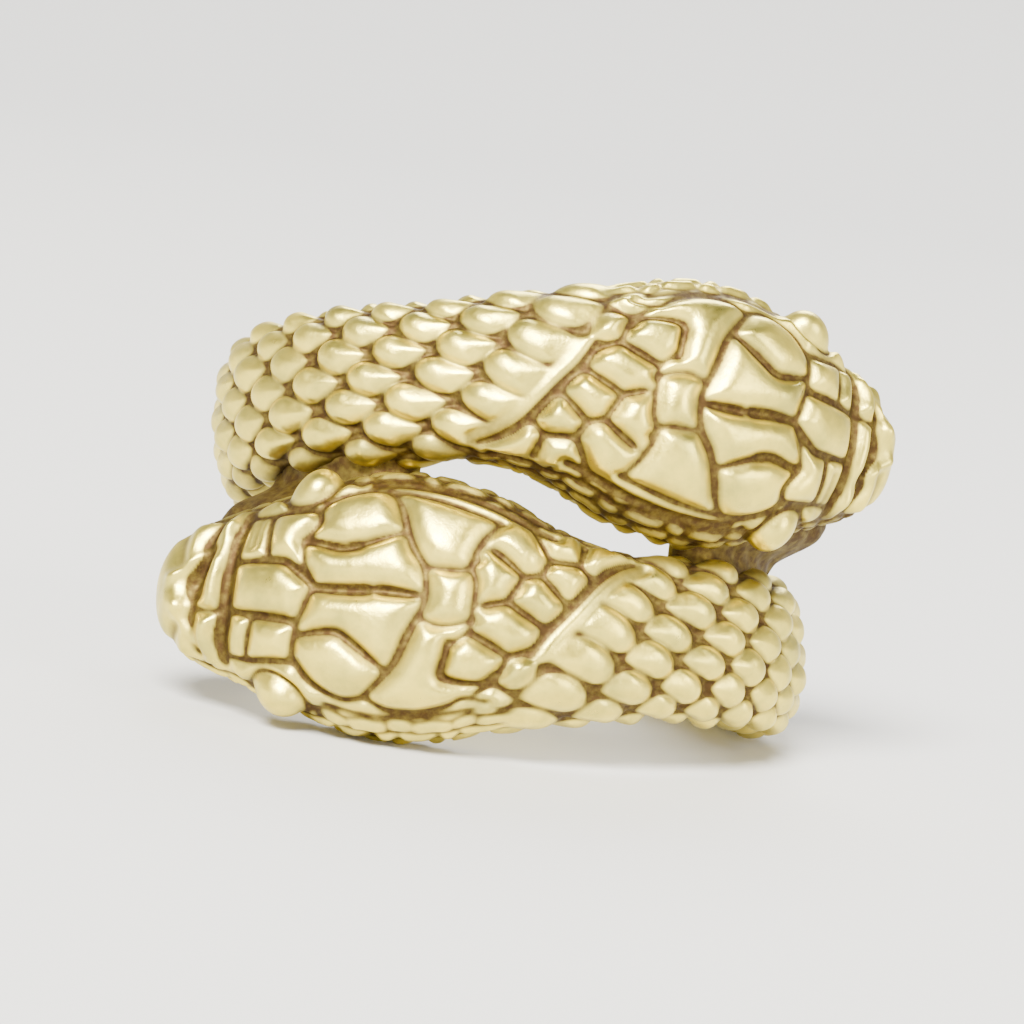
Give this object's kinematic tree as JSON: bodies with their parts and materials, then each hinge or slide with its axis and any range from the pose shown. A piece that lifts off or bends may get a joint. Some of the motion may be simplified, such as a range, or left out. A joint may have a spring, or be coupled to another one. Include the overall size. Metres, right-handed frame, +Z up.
{
  "type": "snake wrap ring",
  "caption": "Finger ring cast as a scaled snake with a head at each end, the heads side by side on the front and pointing opposite ways.",
  "frame": {"origin": "centre of the ring's bounding box at the floor it lies on", "axes": "+Z up, -Y the front with the two heads, +X to the side that the upper head points to"},
  "size_m": [0.0266, 0.0236, 0.0174],
  "materials": {
    "gold": "polished"
  },
  "bodies": {
    "root": {"snake_ring": "gold"}
  },
  "joints": []
}
